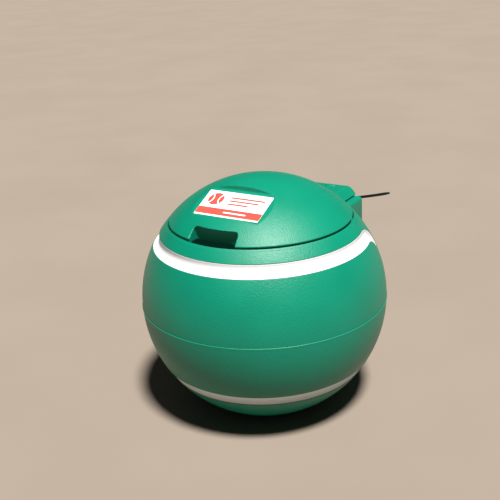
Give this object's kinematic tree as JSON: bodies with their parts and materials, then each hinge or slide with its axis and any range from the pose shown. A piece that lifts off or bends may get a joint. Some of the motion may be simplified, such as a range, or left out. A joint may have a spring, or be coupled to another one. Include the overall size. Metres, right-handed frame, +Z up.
{
  "type": "litter bin",
  "caption": "Ball-shaped litter bin with a hinged lid, a white seam band and a rear plate tied to a round fence post.",
  "frame": {"origin": "centre of the rear plate's rear face, which bears on the post", "axes": "+Y out of the rear face towards the post, +Z up, +X to the right seen from the front; the ball's centre is 208.3 mm in front of the origin and 32 mm below it"},
  "size_m": [0.4016, 0.4713, 0.388],
  "materials": {
    "green_polyethylene": "rotomoulded, fine sandy grain, satin",
    "white_polyethylene": "smooth satin",
    "label_vinyl": "printed vinyl, semi-gloss",
    "label_red": "printed vinyl, semi-gloss",
    "stainless_steel": "plain turned",
    "galvanised_steel": "galvanised",
    "black_nylon": "satin",
    "natural_nylon": "satin"
  },
  "bodies": {
    "bin_body": {"body_shell": "green_polyethylene", "seam_band": "white_polyethylene", "hinge_bush_left": "natural_nylon", "hinge_bush_right": "natural_nylon", "back_plate": "galvanised_steel", "spreader_plate": "galvanised_steel", "plate_bolt_1": "stainless_steel", "plate_bolt_2": "stainless_steel", "plate_bolt_3": "stainless_steel", "plate_bolt_4": "stainless_steel", "plate_washer_1": "stainless_steel", "plate_washer_2": "stainless_steel", "plate_washer_3": "stainless_steel", "plate_washer_4": "stainless_steel", "plate_nut_1": "stainless_steel", "plate_nut_2": "stainless_steel", "plate_nut_3": "stainless_steel", "plate_nut_4": "stainless_steel", "upper_cable_tie": "black_nylon", "lower_cable_tie": "black_nylon"},
    "lid": {"lid_shell": "green_polyethylene", "lid_label": "label_vinyl", "hinge_pin": "stainless_steel", "hinge_pin_plug": "green_polyethylene"}
  },
  "joints": [
    {"name": "lid_hinge", "type": "hinge", "parent": "bin_body", "child": "lid", "pos_m": [0, -0.0128, 0.095], "axis": [-1, 0, 0], "range_deg": [0, 65]}
  ]
}
